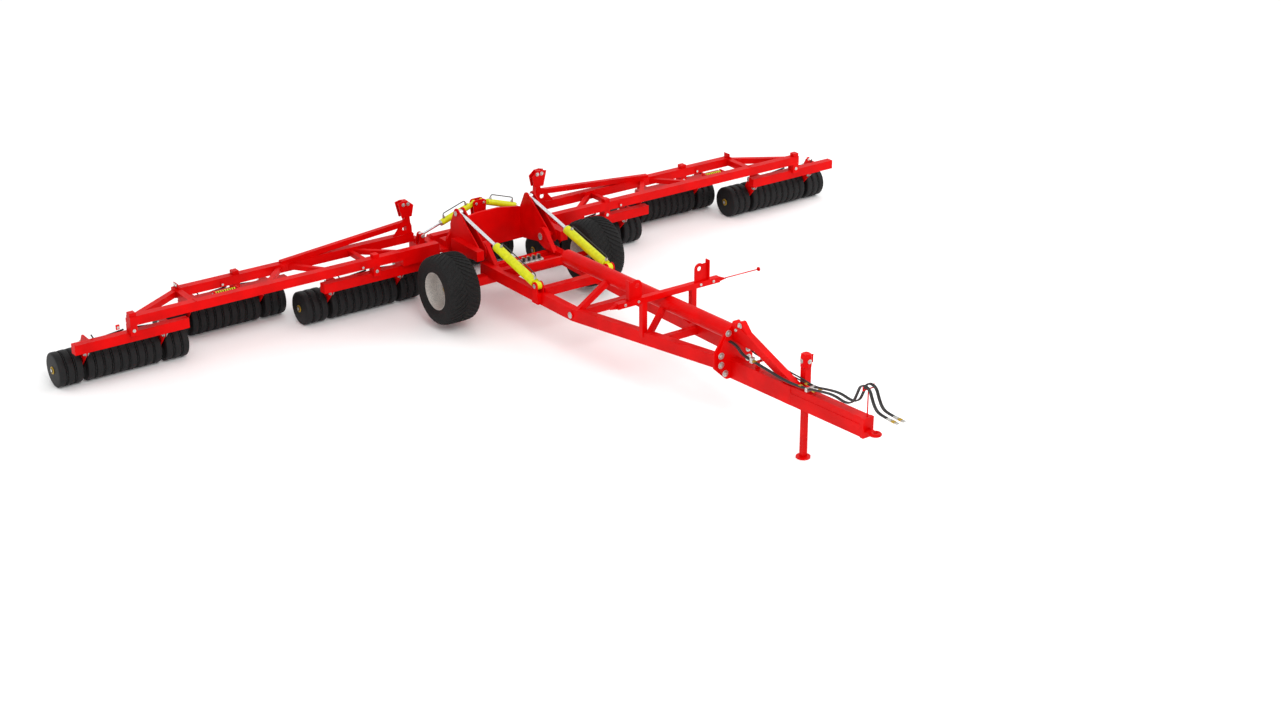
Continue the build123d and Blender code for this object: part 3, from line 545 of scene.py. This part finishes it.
def breaker_ring(bm, along, place):
    """Adds one thin toothed ring with pointed teeth."""
    rims = []
    for offset in (-0.009, 0.009):
        rim = []
        for k in range(2 * BREAKER_TEETH):
            radius = 0.277 if k % 2 else 0.258
            angle = math.pi * k / BREAKER_TEETH
            point = Vector((radius * math.cos(angle), radius * math.sin(angle), along + offset))
            rim.append(bm.verts.new(place @ point))
        rims.append(rim)
        bm.faces.new(rim)
    for k in range(2 * BREAKER_TEETH):
        after = (k + 1) % (2 * BREAKER_TEETH)
        bm.faces.new((rims[0][k], rims[0][after], rims[1][after], rims[1][k]))


along_x = facing((1, 0, 0))
bm = bmesh.new()
for start, count in GROUPS:
    for unit in range(count):
        profile = [(start + unit * RING_PITCH + along, radius) for along, radius in RING_PROFILE]
        turned(bm, profile, along_x, RING_SEGMENTS)
        if unit:
            breaker_ring(bm, start + unit * RING_PITCH, along_x)
turned(bm, [(-1.115, 0.038), (1.115, 0.038)], along_x, 24)
bmesh.ops.recalc_face_normals(bm, faces=bm.faces)
gang_mesh = bpy.data.meshes.new("ring_gang")
bm.to_mesh(gang_mesh)
bm.free()
gang_mesh.materials.append(iron)
gang_mesh.shade_smooth()

for name, gang_x, gang_y, body in GANG_PLACES:
    rings = bpy.data.objects.new(f"rings_{name}", gang_mesh)
    bpy.context.scene.collection.objects.link(rings)
    rings.location = at(gang_x, gang_y, GANG_HEIGHT)
    rings.modifiers.new("crisp_edges", "EDGE_SPLIT").split_angle = math.radians(40)
    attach(rings, f"ring_gang_{name}")
    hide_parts(f"ring_gang_{name}")

# Shaft ends: a yellow passivated end cap on each gang's shaft, held by a plated nut.
for name, gang_x, gang_y, body in GANG_PLACES:
    caps = bmesh.new()
    nuts = bmesh.new()
    for end in (-1, 1):
        place = Matrix.Translation(at(gang_x + end * 1.094, gang_y, GANG_HEIGHT)) @ facing((end, 0, 0))
        turned(caps, [(0, 0.062), (0.010, 0.062), (0.016, 0.055), (0.016, 0.03)], place, 28)
        turned(nuts, [(0.014, 0.03), (0.024, 0.03), (0.027, 0.026)], place, 6)
    put(f"shaft_caps_{name}", caps, passivated, f"ring_gang_{name}")
    put(f"shaft_nuts_{name}", nuts, zinc, f"ring_gang_{name}")

# Tyres: wide flotation tyres moulded in black rubber, with fine V bars from the centre line
# out to the shoulders. Road dust lies in the pattern.
WHEEL_X = 1.441
WHEEL_Z = 0.687
CARCASS = (
    (-0.243, 0.305),
    (-0.262, 0.318),
    (-0.288, 0.350),
    (-0.300, 0.400),
    (-0.303, 0.450),
    (-0.298, 0.500),
    (-0.282, 0.536),
    (-0.250, 0.556),
    (-0.190, 0.566),
    (-0.100, 0.571),
    (0.0, 0.572),
)
BAR_COUNT = 40
BAR_STEPS = 8
BAR_SWEEP = 0.34
BAR_HEIGHT = 0.014
RUBBER_DARK = "#0B0B0B"
RUBBER_DUST = "#1F1E1E"


def moulded_rubber():
    """Tyre rubber: matt black with dust in patches of 20 mm and a fine moulded grain."""
    values = {"Roughness": 0.78, "IOR": 1.52, "Specular_IOR_Level": 0.2}
    made, tree, shader = finish_of("moulded_rubber", **values)
    tree.links.new(mottle(tree, 20, RUBBER_DARK, RUBBER_DUST, 4.0), shader.inputs["Base Color"])
    relief(tree, shader, 5, 0.5)
    return made


rubber = moulded_rubber()


def crown(x):
    """Radius of the carcass under the tread at x from its middle."""
    points = sorted((abs(along), radius) for along, radius in CARCASS if radius > 0.49)
    for (x0, r0), (x1, r1) in zip(points, points[1:]):
        if x0 <= abs(x) <= x1:
            return r0 + (r1 - r0) * (abs(x) - x0) / (x1 - x0)
    return points[-1][1]


def tread_bar(bm, start_angle, half, place):
    """Adds one raised bar from near the centre line to the shoulder, swept back."""
    rows = []
    for step in range(BAR_STEPS + 1):
        share = step / BAR_STEPS
        x = half * (0.006 + 0.270 * share)
        angle = start_angle + BAR_SWEEP * share ** 0.8
        wide = 0.030 + 0.014 * share
        low = crown(x) - 0.004
        high = crown(x) + BAR_HEIGHT * (1 - 0.6 * max(0.0, share - 0.75) * 4)
        row = []
        for radius, spread in ((low, 0.5), (high, 0.36), (high, -0.36), (low, -0.5)):
            turn = angle + spread * wide / radius
            row.append(bm.verts.new(place @ Vector((radius * math.cos(turn), radius * math.sin(turn), x))))
        rows.append(row)
    for before, after in zip(rows, rows[1:]):
        for k in range(4):
            bm.faces.new((before[k], before[(k + 1) % 4], after[(k + 1) % 4], after[k]))
    bm.faces.new(rows[0])
    bm.faces.new(rows[-1])


mirrored = [(-along, radius) for along, radius in reversed(CARCASS[:-1])]
for name, side in (("left", 1), ("right", -1)):
    place = Matrix.Translation(at(side * WHEEL_X, 0, WHEEL_Z)) @ along_x
    bm = bmesh.new()
    turned(bm, list(CARCASS) + mirrored, place, 96, open_ended=True)
    for k in range(BAR_COUNT):
        angle = 2 * math.pi * k / BAR_COUNT
        tread_bar(bm, angle, 1, place)
        tread_bar(bm, angle + math.pi / BAR_COUNT, -1, place)
    tyre = put(f"tread_tyre_{name}", bm, rubber, f"wheel_{name}", 30)
    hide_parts(f"tyre_{name}")

# Rims: pressed and welded steel, painted a warm grey that has gone dusty, with a deep dish
# outside, ten wheel studs round the hub and a small cap on the axle's end.
RIM_LIGHT = "#B7AEA6"
RIM_DARK = "#8A8784"
RIM_PROFILE = (
    (-0.262, 0.306),
    (0.245, 0.306),
    (0.262, 0.318),
    (0.266, 0.308),
    (0.240, 0.290),
    (0.170, 0.272),
    (0.100, 0.255),
    (0.060, 0.235),
    (0.040, 0.190),
    (0.030, 0.150),
    (0.046, 0.120),
    (0.048, 0.080),
    (0.016, 0.076),
    (0.016, 0.070),
)
STUDS = 10


def dusty_rim_paint():
    """Wheel enamel: warm grey speckled with dust, satin where it is clean."""
    made, tree, shader = finish_of("dusty_rim_paint", Roughness=0.5, IOR=1.5)
    tree.links.new(mottle(tree, 14, RIM_DARK, RIM_LIGHT, 5.0), shader.inputs["Base Color"])
    relief(tree, shader, 8, 0.5)
    return made


rim_paint = dusty_rim_paint()

for name, side in (("left", 1), ("right", -1)):
    place = Matrix.Translation(at(side * WHEEL_X, 0, WHEEL_Z)) @ facing((side, 0, 0))
    bm = bmesh.new()
    turned(bm, RIM_PROFILE, place, 64, open_ended=True)
    turned(bm, [(-0.262, 0.306), (-0.250, 0.285), (-0.10, 0.262), (0.0, 0.25), (0.02, 0.10)], place, 64, True)
    rim = put(f"dished_rim_{name}", bm, rim_paint, f"wheel_{name}", 50)
    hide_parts(f"rim_{name}")
    studs = bmesh.new()
    for k in range(STUDS):
        angle = 2 * math.pi * k / STUDS
        point = place @ Vector((0.135 * math.cos(angle), 0.135 * math.sin(angle), 0.034))
        hex_bolt(studs, point, (side, 0, 0), 0.03)
    put(f"wheel_studs_{name}", studs, zinc, f"wheel_{name}")
    cap = bmesh.new()
    turned(cap, [(0.0, 0.07), (0.07, 0.068), (0.085, 0.055), (0.09, 0.03), (0.092, 0.005)], place, 32)
    put(f"hub_cap_{name}", cap, passivated, f"wheel_{name}")

# Hydraulic cylinders: honed steel barrels sprayed yellow with a green cast, and rods that are ground
# and hard chromed. The CAD holds their shapes.
YELLOW_COAT = "#D2D408"
YELLOW_SHADE = "#C2C406"


def yellow_enamel():
    """Sprayed yellow enamel over steel: bright, satin, with faint runs of 60 mm."""
    made, tree, shader = finish_of("yellow_enamel", Roughness=0.4, IOR=1.5, Specular_IOR_Level=0.3)
    tree.links.new(mottle(tree, 60, YELLOW_SHADE, YELLOW_COAT), shader.inputs["Base Color"])
    relief(tree, shader, 10, 0.3)
    return made


def hard_chrome():
    """Ground hard chrome: pale mirror with fine polishing marks of about 2 mm."""
    made, tree, shader = finish_of("hard_chrome", Metallic=1.0, Roughness=0.18)
    tree.links.new(mottle(tree, 30, "#D2D4D8", "#E8E9EA"), shader.inputs["Base Color"])
    relief(tree, shader, 2, 0.05)
    return made


yellow = yellow_enamel()
chrome = hard_chrome()
for kind in ("tilt", "wing"):
    for name in ("left", "right"):
        finish_node(f"{kind}_barrel_{name}", yellow)
        finish_node(f"{kind}_rod_{name}", chrome)

# Pivot and cylinder pins: turned steel with broad plated heads, in the tilt arms' apexes, inside the
# ears of the pivot, in the tower, on the wing hinges and in the clevises on the beams.
SIDES = (("left", 1), ("right", -1))
TILT_BASE = (0.697, -1.540, 1.054)
TILT_APEX = (0.697, 0.803, 1.604)
WING_BASE = (0.075, 1.360, 1.490)
WING_TIP = (1.150, 1.360, 1.140)
PIVOT = (0.522, 0.230, 1.090)
HINGE = (1.040, 0.920)
HINGE_FACES = (0.890, 1.520)
APEX_FACE = 0.779
CLEVIS_FACES = ((0.767, 1), (0.631, -1))
LUG_FACE = 1.290

for name, side in SIDES:
    bm = bmesh.new()
    pin_head(bm, at(side * APEX_FACE, TILT_APEX[1], TILT_APEX[2]), (side, 0, 0), 0.044, 0.014)
    pin_head(bm, at(side * PIVOT[0], PIVOT[1], PIVOT[2]), (-side, 0, 0), 0.060, 0.014)
    pin_head(bm, at(side * WING_BASE[0], LUG_FACE, WING_BASE[2]), (0, -1, 0), 0.024, 0.010)
    for hinge_y in HINGE_FACES:
        pin_head(bm, at(side * HINGE[0], hinge_y, HINGE[1]), (0, -1, 0), 0.034, 0.012)
    put(f"tilt_pins_{name}", bm, zinc, "tilt_frame")
    bm = bmesh.new()
    pin_head(bm, at(side * WING_TIP[0], LUG_FACE, WING_TIP[2]), (0, -1, 0), 0.032, 0.012)
    put(f"wing_pin_{name}", bm, zinc, f"wing_{name}")
    bm = bmesh.new()
    for face, way in CLEVIS_FACES:
        pin_head(bm, at(side * face, TILT_BASE[1], TILT_BASE[2]), (way * side, 0, 0), 0.036, 0.012)
    put(f"clevis_pins_{name}", bm, zinc, "chassis")

# Wing roots: laser cut plates welded to the leaning posts. Head plates flare outward over each
# post's top, front and rear, and an arched gusset with a round hole stands at its foot.
HEAD_FACES = (1.488, 1.592)
HEAD_OUTLINE = (
    (1.235, 1.460),
    (1.195, 1.655),
    (1.300, 1.742),
    (1.400, 1.752),
    (1.492, 1.728),
    (1.425, 1.460),
)
HEAD_BOLTS = ((1.30, 1.690), (1.39, 1.690))
PLATE_THICK = 0.014
GUSSET_FACE = 1.484
GUSSET_OUTLINE = (
    (1.620, 1.164),
    (1.520, 1.285),
    (1.425, 1.400),
    (1.350, 1.440),
    (1.290, 1.400),
    (1.250, 1.300),
    (1.245, 1.164),
    (1.430, 1.164),
)
GUSSET_HOLE = (1.385, 1.275)
GUSSET_HOLE_RADIUS = 0.042
# Collars at the wing's kink: the low corner and the high corner of each, x from the middle.
COLLARS = (
    ((5.532, 0.803, 1.000), (5.548, 0.950, 1.168)),
    ((5.532, 1.460, 1.000), (5.548, 1.620, 1.235)),
    ((5.500, 1.490, 1.160), (5.580, 1.590, 1.172)),
)
COLLAR_FACE = 5.548
COLLAR_BOLTS = ((1.51, 1.205), (1.57, 1.205))


def holed_plate(bm, outline, centre, radius, across, thick):
    """Adds a flat plate with one round hole, its rim cut toward each corner of the outline."""
    normal = Vector(across).normalized()
    inner = [centre + (point - centre).normalized() * radius for point in outline]
    rows = []
    for points in (outline, inner):
        for lift in (-thick / 2, thick / 2):
            rows.append([bm.verts.new(point + normal * lift) for point in points])
    for k in range(len(outline)):
        for lower, upper in ((0, 1), (1, 3), (3, 2), (2, 0)):
            bm.faces.new((rows[lower][k - 1], rows[lower][k], rows[upper][k], rows[upper][k - 1]))


for name, side in SIDES:
    bm = bmesh.new()
    for plate_y in HEAD_FACES:
        cut_plate(bm, [at(side * x, plate_y, z) for x, z in HEAD_OUTLINE], (0, 1, 0), PLATE_THICK)
    outline = []
    for (x0, z0), (x1, z1) in zip(GUSSET_OUTLINE, GUSSET_OUTLINE[1:] + GUSSET_OUTLINE[:1]):
        for k in range(3):
            outline.append(at(side * (x0 + (x1 - x0) * k / 3), GUSSET_FACE, z0 + (z1 - z0) * k / 3))
    hole = at(side * GUSSET_HOLE[0], GUSSET_FACE, GUSSET_HOLE[1])
    holed_plate(bm, outline, hole, GUSSET_HOLE_RADIUS, (0, 1, 0), PLATE_THICK)
    # A collar clasps the front chord where the wing bends, flush enough to pass the transport rest,
    # and the rear chord's collar stands up as a bracket.
    for low, high in COLLARS:
        block(bm, at(side * low[0], low[1], low[2]), at(side * high[0], high[1], high[2]), 0.003)
    put(f"wing_root_plates_{name}", bm, red_coat, f"wing_{name}", 25)
    bm = bmesh.new()
    for bolt_y, bolt_z in COLLAR_BOLTS:
        hex_bolt(bm, at(side * COLLAR_FACE, bolt_y, bolt_z), (side, 0, 0), 0.03)
    for bolt_x, bolt_z in HEAD_BOLTS:
        hex_bolt(bm, at(side * bolt_x, HEAD_FACES[0] - PLATE_THICK / 2, bolt_z), (0, -1, 0), 0.034)
    put(f"wing_plate_bolts_{name}", bm, zinc, f"wing_{name}")

# Cylinder fittings: each barrel has a screwed gland at its mouth, and two unions on top with a
# bent pipe in a black rubber sheath from one to the other. They swing with the barrel.
# Each kind: base, tip, barrel length, barrel radius, rod radius, places of the unions.
PIPE_DIAMETER = 0.018
PIPE_RISE = 0.036
PIPE_BEND = 0.070
CYLINDERS = (
    ("tilt", TILT_BASE, TILT_APEX, 1.250, 0.075, 0.033, (0.10, 1.12)),
    ("wing", WING_BASE, WING_TIP, 0.700, 0.056, 0.022, (0.16, 0.62)),
)

for kind, base, tip, long, barrel_radius, rod_radius, unions_at in CYLINDERS:
    for name, side in SIDES:
        start = at(side * base[0], base[1], base[2])
        run = (at(side * tip[0], tip[1], tip[2]) - start).normalized()
        top = (Vector((0, 0, 1)) - run * run.z).normalized()
        place = Matrix.Translation(start + run * long) @ facing(run)
        bm = bmesh.new()
        gland = barrel_radius * 0.93
        mouth = rod_radius + 0.003
        turned(bm, [(-0.004, mouth), (0.0, gland), (0.022, gland), (0.028, mouth)], place, 32)
        route = []
        for reach in unions_at:
            seat = start + run * reach + top * (barrel_radius - 0.006)
            upright = Matrix.Translation(seat) @ facing(top)
            turned(bm, [(0, 0.026), (0.030, 0.026), (0.034, 0.020)], upright, 6)
            turned(bm, [(0.034, 0.016), (0.052, 0.016)], upright, 16)
            route.append(seat + top * 0.050)
        put(f"{kind}_gland_{name}", bm, zinc, f"{kind}_barrel_{name}")
        near, far = route
        ends = [near, near + top * 0.034, near + top * PIPE_RISE + run * PIPE_BEND]
        ends += [far + top * PIPE_RISE - run * PIPE_BEND, far + top * 0.034, far]
        body = f"{kind}_barrel_{name}"
        hose(f"{kind}_pipe_{name}", ends, PIPE_DIAMETER, hose_cover, body)

# Valve block: a machined steel manifold, zinc plated, on the second cross member. A black moulded
# solenoid coil with a yellow cap stands beside each port, and a plated union in front of it.
VALVE_PORTS = (-0.12, -0.02, 0.08, 0.18)
VALVE_FRONT = -0.290
VALVE_TOP = 0.928

finish_node("valve_block", zinc)
coils = bmesh.new()
caps = bmesh.new()
fittings = bmesh.new()
for port in VALVE_PORTS:
    upright = Matrix.Translation(at(port, VALVE_FRONT + 0.045, VALVE_TOP)) @ facing((0, 0, 1))
    turned(coils, [(0, 0.026), (0.060, 0.026), (0.064, 0.022)], upright, 20)
    turned(caps, [(0.064, 0.012), (0.074, 0.012), (0.076, 0.009)], upright, 6)
    ahead_of = Matrix.Translation(at(port, VALVE_FRONT, VALVE_TOP - 0.036)) @ facing((0, -1, 0))
    turned(fittings, [(0, 0.021), (0.024, 0.021), (0.028, 0.014), (0.046, 0.014)], ahead_of, 6)
put("solenoid_coils", coils, hose_cover, "chassis")
put("coil_caps", caps, passivated, "chassis")
put("valve_unions", fittings, zinc, "chassis")

# Gang hangers: a pinned cheek over each gang's middle, a lug with a second pin beside it, and the
# dark steel bars that steady the gang from behind, with a small upright lever at the outer end.
TUBE_BEHIND_AXIS = 0.590
BARS_BEHIND = 0.115
LUG_BESIDE = 0.270

for name, gang_x, gang_y, body in GANG_PLACES:
    out = -1 if gang_x < 0 else 1
    tube_y = gang_y - TUBE_BEHIND_AXIS
    bar_y = tube_y + BARS_BEHIND
    pins = bmesh.new()
    pin_head(pins, at(gang_x, tube_y - 0.140, 0.925), (0, -1, 0), 0.028, 0.012)
    bars = bmesh.new()
    for end in (-1, 1):
        bar(bars, at(gang_x + end * 0.56, bar_y, 0.826), at(gang_x + end * 0.07, bar_y, 0.880), 0.014)
        foot_x = gang_x + end * 0.545
        block(bars, at(foot_x - 0.02, tube_y + 0.066, 0.79), at(foot_x + 0.02, tube_y + 0.125, 0.845))
    lever_foot = at(gang_x + out * 0.560, bar_y, 0.835)
    bar(bars, lever_foot, lever_foot + Vector((out * 0.040, 0, 0.085)), 0.011)
    put(f"steady_bars_{name}", bars, iron, body)
    if body != "tilt_frame":
        cheeks = bmesh.new()
        low = at(gang_x - 0.055, tube_y - 0.138, 1.155)
        block(cheeks, low, at(gang_x + 0.055, tube_y - 0.020, 1.216))
        chord_y = 0.800 if gang_y < 2 else 1.470
        lug_x = gang_x + out * LUG_BESIDE
        low = at(lug_x - 0.03, chord_y - 0.020, 1.020)
        block(cheeks, low, at(lug_x + 0.03, chord_y + 0.002, 1.100))
        pin_head(pins, at(lug_x, chord_y - 0.020, 1.059), (0, -1, 0), 0.020, 0.010)
        put(f"hanger_cheeks_{name}", cheeks, red_coat, body)
    put(f"hanger_pins_{name}", pins, zinc, body)

# Spring rods: near each middle gang a dark steel rod lies between two lugs of the front chord. The
# yellow enamelled turns of its spring are drawn as a row of collars.
SPRING_LUGS = (4.690, 5.090)
SPRING_LINE = (1.135, 1.080)
SPRING_PITCH = 0.040
SPRING_TURNS = 9

for name, side in SIDES:
    lugs = bmesh.new()
    rods = bmesh.new()
    stripes = bmesh.new()
    for lug_x in SPRING_LUGS:
        block(lugs, at(side * lug_x - 0.012, 0.935, 1.040), at(side * lug_x + 0.012, 1.180, 1.120))
    near, far = [at(side * lug_x, *SPRING_LINE) for lug_x in SPRING_LUGS]
    bar(rods, near, far, 0.018)
    for k in range(SPRING_TURNS):
        x = side * (SPRING_LUGS[0] + 0.032 + SPRING_PITCH * k)
        bar(stripes, at(x, *SPRING_LINE), at(x + side * SPRING_PITCH / 2, *SPRING_LINE), 0.026, 18)
    put(f"spring_lugs_{name}", lugs, red_coat, f"wing_{name}")
    put(f"spring_rod_{name}", rods, iron, f"wing_{name}")
    put(f"spring_turns_{name}", stripes, yellow, f"wing_{name}")
    pins = bmesh.new()
    for pin_y in (0.985, 1.135):
        pin_head(pins, at(side * 5.102, pin_y, 1.080), (side, 0, 0), 0.018, 0.010)
    put(f"spring_pins_{name}", pins, zinc, f"wing_{name}")

# Transport rest: the welded crossbeam carries plated steel pins through its front face, one under
# each catch and one farther out.
REST_PINS = (0.835, 0.590)
REST_FACE = -4.152
REST_PIN_HEIGHT = 1.612

for name, side in SIDES:
    bm = bmesh.new()
    for pin_x in REST_PINS:
        pin_head(bm, at(side * pin_x, REST_FACE, REST_PIN_HEIGHT), (0, -1, 0), 0.022, 0.010)
    put(f"rest_pins_{name}", bm, zinc, "chassis")

# Studio: a white sweep under the machine and a wide soft light from above and ahead.
FLOOR_WHITE = "#FFFFFF"
CAMERA_PLACE = (-18.807, -29.368, 14.314)
CAMERA_YAW = 35.894
CAMERA_PITCH = 23.711
CAMERA_LENS = 62.54
FLOOR_HALF = 120


def studio_floor():
    """Matt white studio vinyl."""
    made, tree, shader = finish_of("studio_floor", Roughness=0.9, Specular_IOR_Level=0.1)
    tree.links.new(mottle(tree, 3000, "#FCFCFC", FLOOR_WHITE), shader.inputs["Base Color"])
    return made


bm = bmesh.new()
bmesh.ops.create_grid(bm, x_segments=4, y_segments=4, size=FLOOR_HALF)
floor_data = bpy.data.meshes.new("floor")
bm.to_mesh(floor_data)
bm.free()
floor_data.materials.append(studio_floor())
floor = bpy.data.objects.new("floor", floor_data)
bpy.context.scene.collection.objects.link(floor)
floor.location.z = -0.001

world = bpy.data.worlds.new("studio")
bpy.context.scene.world = world
world.use_nodes = True
world.node_tree.nodes["Background"].inputs["Color"].default_value = (1, 1, 1, 1)
world.node_tree.nodes["Background"].inputs["Strength"].default_value = 1.0


def soft_light(name, place, target, size, watts):
    """Square soft box aimed at a point."""
    data = bpy.data.lights.new(name, "AREA")
    data.size = size
    data.energy = watts
    lamp = bpy.data.objects.new(name, data)
    bpy.context.scene.collection.objects.link(lamp)
    lamp.location = place
    lamp.rotation_mode = "QUATERNION"
    lamp.rotation_quaternion = (Vector(place) - Vector(target)).to_track_quat("Z", "Y")


soft_light("key", (-6, -14, 16), (0, 0, 0.6), 10, 1800)
soft_light("fill", (14, -4, 12), (0, 0, 0.6), 12, 900)

camera_data = bpy.data.cameras.new("camera")
camera_data.sensor_width = 36
camera_data.lens = CAMERA_LENS
camera_data.clip_end = 400
camera = bpy.data.objects.new("camera", camera_data)
bpy.context.scene.collection.objects.link(camera)
yaw = math.radians(CAMERA_YAW)
pitch = math.radians(CAMERA_PITCH)
right = Vector((math.cos(yaw), -math.sin(yaw), 0))
ahead = Vector((math.sin(yaw) * math.cos(pitch), math.cos(yaw) * math.cos(pitch), -math.sin(pitch)))
up = right.cross(ahead)
turn = Matrix((right, up, -ahead)).transposed().to_4x4()
camera.matrix_world = Matrix.Translation(at(*CAMERA_PLACE)) @ turn
bpy.context.scene.camera = camera
bpy.context.scene.view_settings.view_transform = "Standard"
